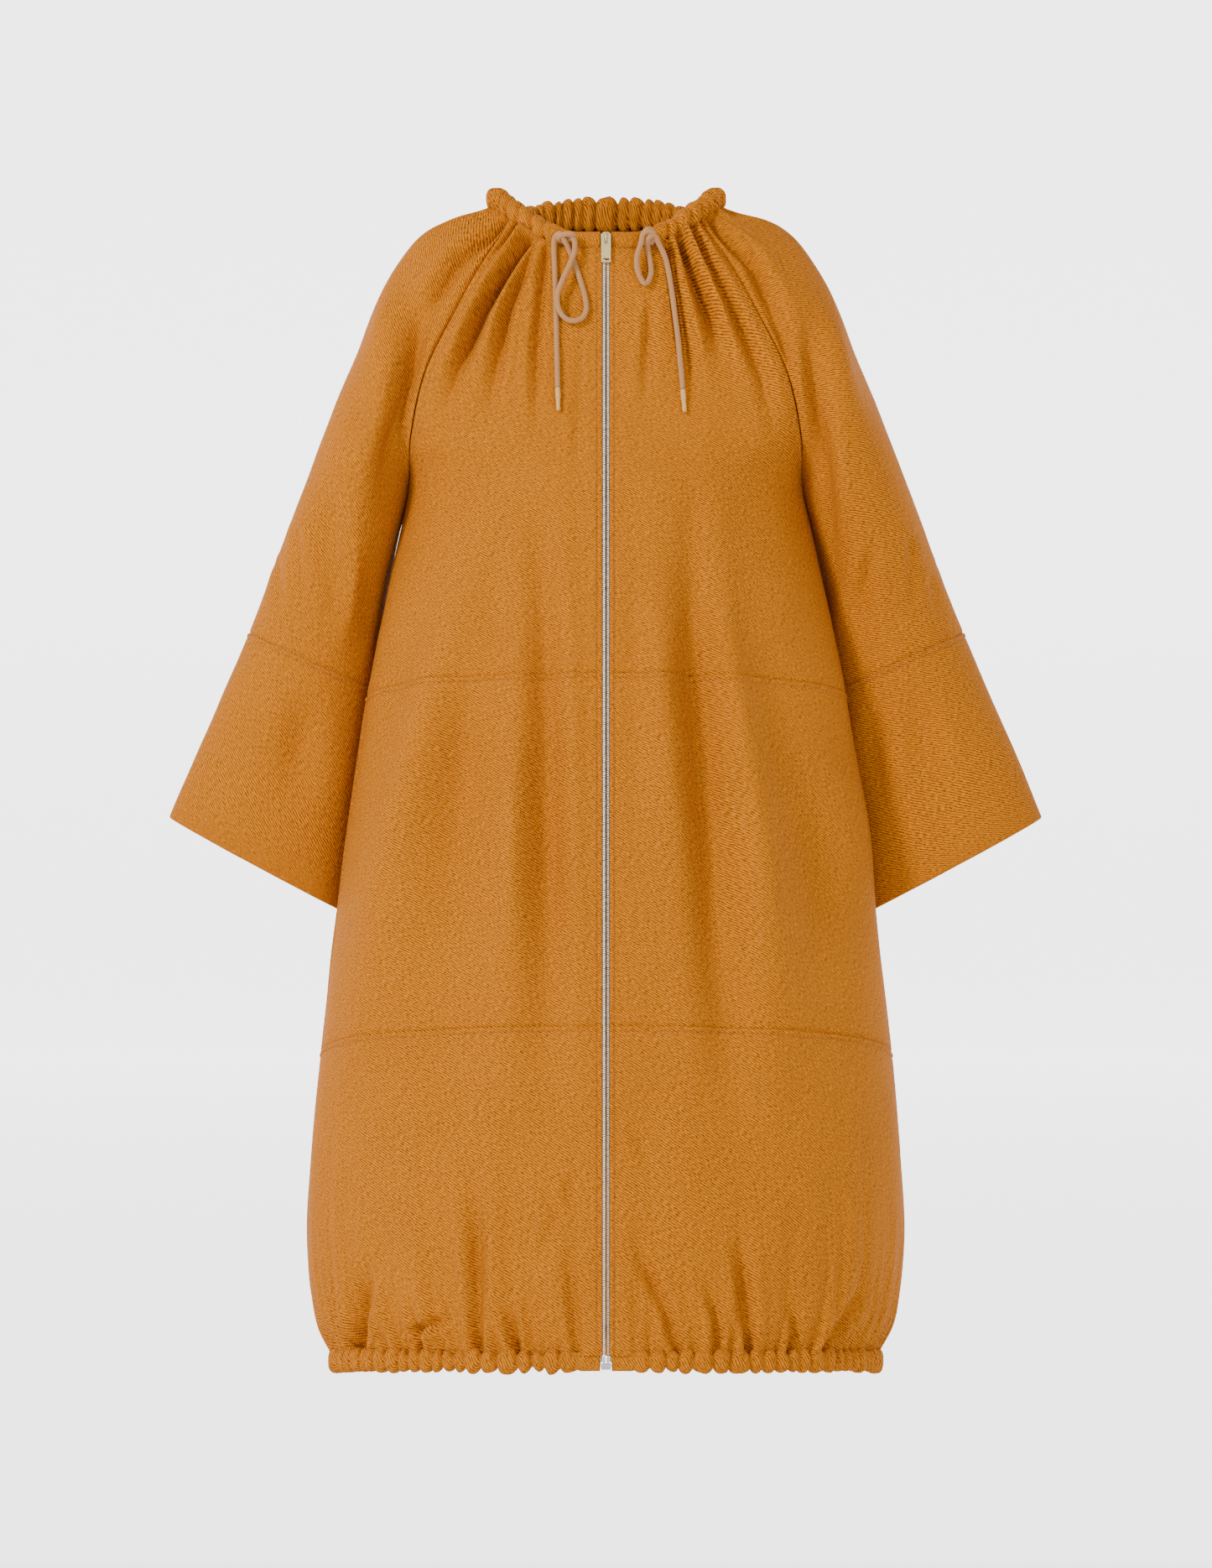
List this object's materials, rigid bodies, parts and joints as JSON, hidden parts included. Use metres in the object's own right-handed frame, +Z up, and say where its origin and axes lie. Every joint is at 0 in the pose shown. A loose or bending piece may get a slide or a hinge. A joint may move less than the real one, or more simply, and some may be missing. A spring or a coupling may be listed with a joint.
{
  "type": "drawcord neck coat",
  "caption": "Midi coat in heavy twill with raglan sleeves, a gathered drawcord neck, a full-length metal zip and an elasticated balloon hem.",
  "frame": {"origin": "middle of the neck opening, at the height where the wearer's shoulders or a hanger's neck carry the coat", "axes": "+Z up along the body, -Y out of the front, +X to the wearer's left sleeve"},
  "size_m": [0.8636, 0.3574, 1.1517],
  "materials": {
    "twill": "brushed heavy cotton twill",
    "facing": "brushed heavy cotton twill",
    "cord": "round braided cotton cord",
    "cord_tip": "dipped, satin",
    "zip_tape": "woven tape",
    "zip_teeth": "polished",
    "zip_box": "plated",
    "slider": "enamelled, satin",
    "elastic": "woven elastic"
  },
  "bodies": {
    "coat": {"front_upper_left": "twill", "front_upper_right": "twill", "front_middle_left": "twill", "front_middle_right": "twill", "front_lower_left": "twill", "front_lower_right": "twill", "sleeve_shoulder_left": "twill", "sleeve_shoulder_right": "twill", "back_upper": "twill", "back_middle": "twill", "back_lower": "twill", "neck_casing": "twill", "hem_casing": "twill", "front_facing_left": "facing", "cord_left": "cord", "cord_tip_left": "cord_tip", "zip_tape_left": "zip_tape", "zip_teeth_left": "zip_teeth", "zip_top_stop_left": "zip_teeth", "front_facing_right": "facing", "cord_right": "cord", "cord_tip_right": "cord_tip", "zip_tape_right": "zip_tape", "zip_teeth_right": "zip_teeth", "zip_top_stop_right": "zip_teeth", "drawcord_in_casing": "cord", "hem_elastic": "elastic", "zip_box_pin": "zip_box", "zip_insertion_pin": "zip_box", "zip_retainer_box": "zip_box"},
    "zip_slider": {"slider_body": "slider", "slider_bridge": "slider"},
    "pull": {"pull_tab": "slider"},
    "left_sleeve": {"sleeve_upper_left": "twill", "sleeve_lower_left": "twill"},
    "right_sleeve": {"sleeve_upper_right": "twill", "sleeve_lower_right": "twill"}
  },
  "joints": [
    {"name": "zip_slide", "type": "slide", "parent": "coat", "child": "zip_slider", "axis": [0, -0.1013, -0.9949], "range_m": [0, 1.0665]},
    {"name": "pull_hinge", "type": "hinge", "parent": "zip_slider", "child": "pull", "pos_m": [0, -0.08314, -0.0192], "axis": [-1, 0, 0], "range_deg": [0, 170]},
    {"name": "left_sleeve_swing", "type": "hinge", "parent": "coat", "child": "left_sleeve", "pos_m": [0.284, 0.012, -0.224], "axis": [0, -1, 0], "range_deg": [0, 60]},
    {"name": "right_sleeve_swing", "type": "hinge", "parent": "coat", "child": "right_sleeve", "pos_m": [-0.284, 0.012, -0.224], "axis": [0, 1, 0], "range_deg": [0, 60]}
  ]
}
